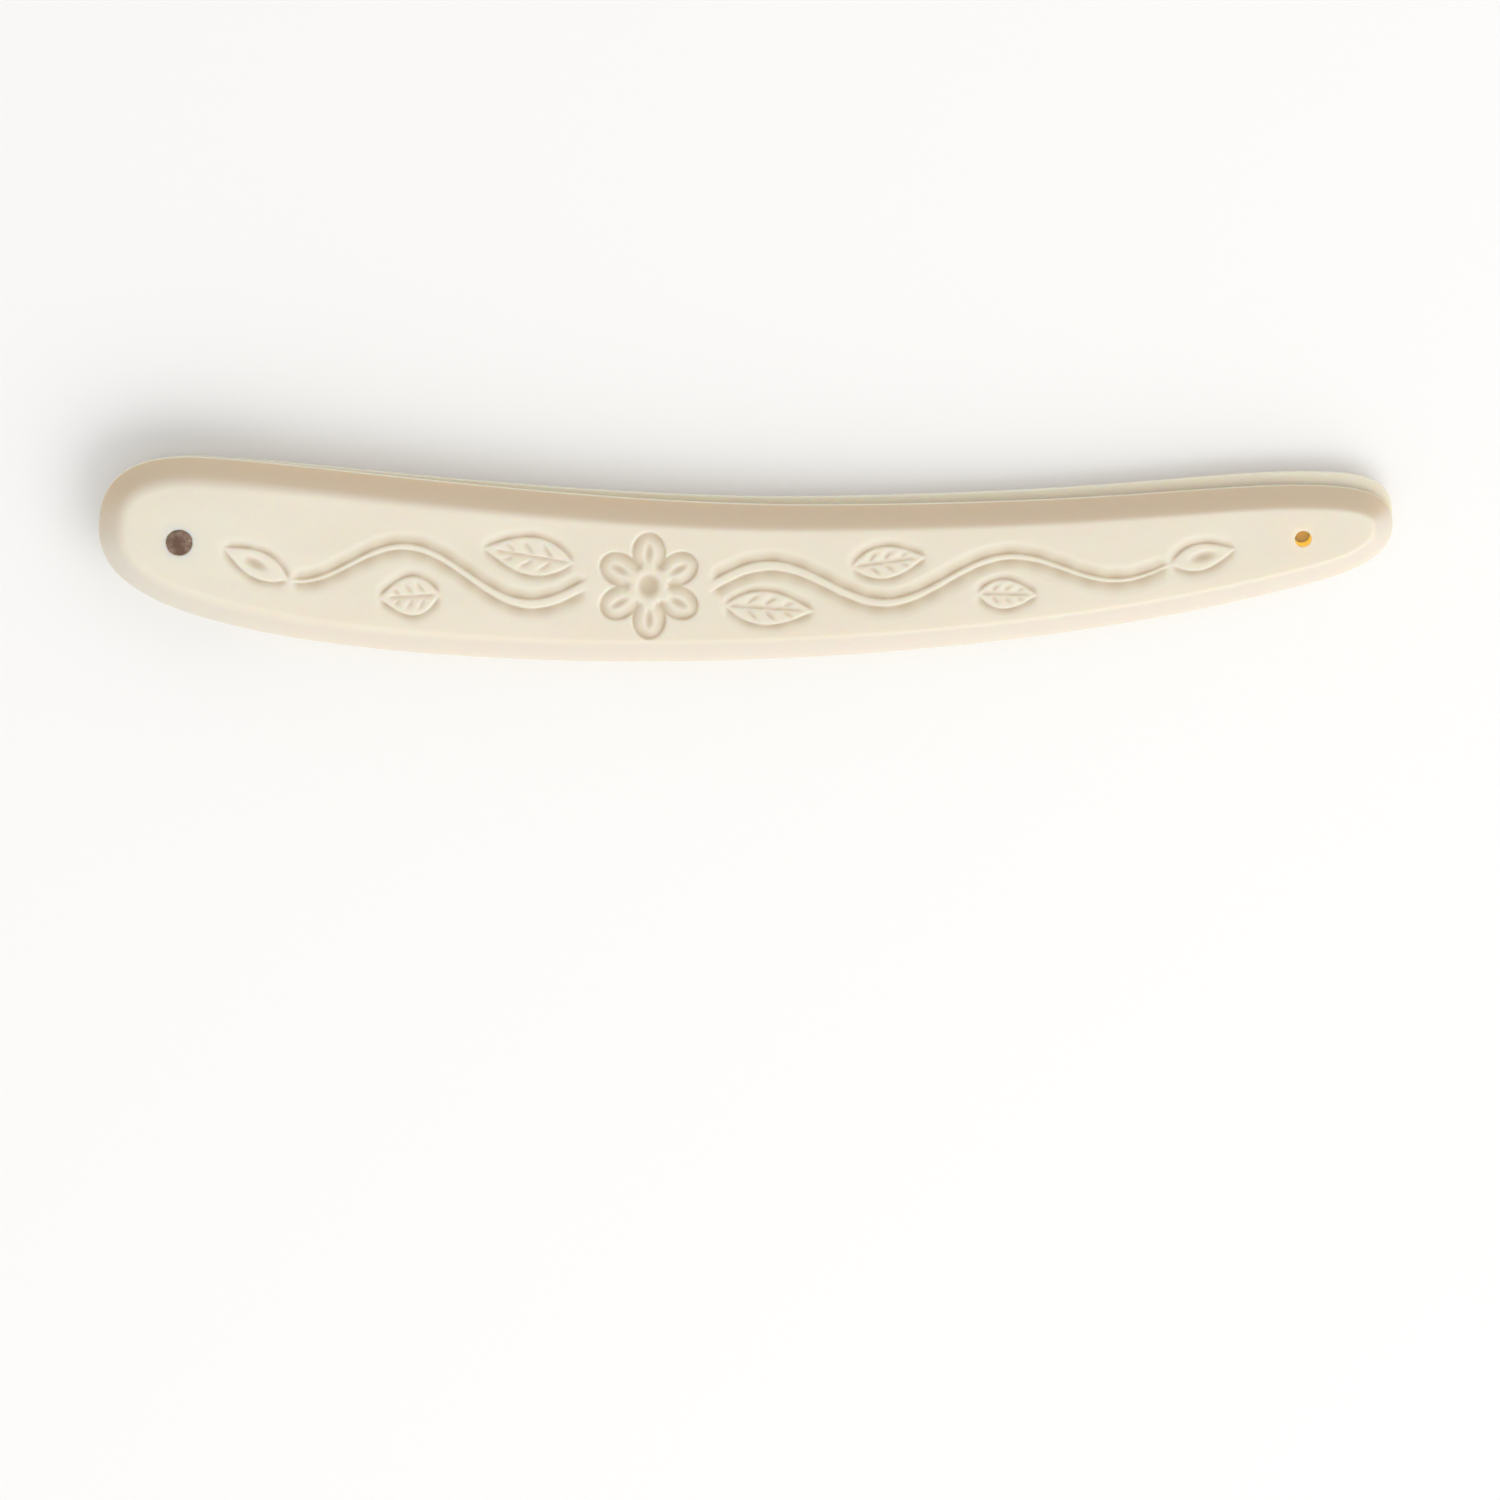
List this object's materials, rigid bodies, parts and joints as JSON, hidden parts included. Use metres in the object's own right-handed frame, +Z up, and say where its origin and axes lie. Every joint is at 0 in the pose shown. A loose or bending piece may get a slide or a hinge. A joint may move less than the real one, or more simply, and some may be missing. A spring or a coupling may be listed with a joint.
{
  "type": "straight razor handle",
  "caption": "Folding razor handle without its blade: two carved ivory-coloured scales joined at the wide end by a pin through a tapered wedge.",
  "frame": {"origin": "centre of the back scale's pivot hole, on that scale's outer face, which the handle lies on", "axes": "+X from the wedge pin to the pivot hole, +Y towards the hollow edge, +Z up from the back scale to the front scale, along the pin"},
  "size_m": [0.1523, 0.0254, 0.0085],
  "materials": {
    "scale": "carved and polished ivory-coloured celluloid",
    "wedge": "black, filed flush",
    "pin": "peened nickel silver, tarnished brown"
  },
  "bodies": {
    "back_side": {"back_scale": "scale"},
    "front_side": {"front_scale": "scale", "wedge": "wedge", "wedge_pin": "pin"}
  },
  "joints": [
    {"name": "scale_swing", "type": "hinge", "parent": "back_side", "child": "front_side", "pos_m": [-0.132, 0, 0.0043], "axis": [0, 0, 1], "continuous": true}
  ]
}
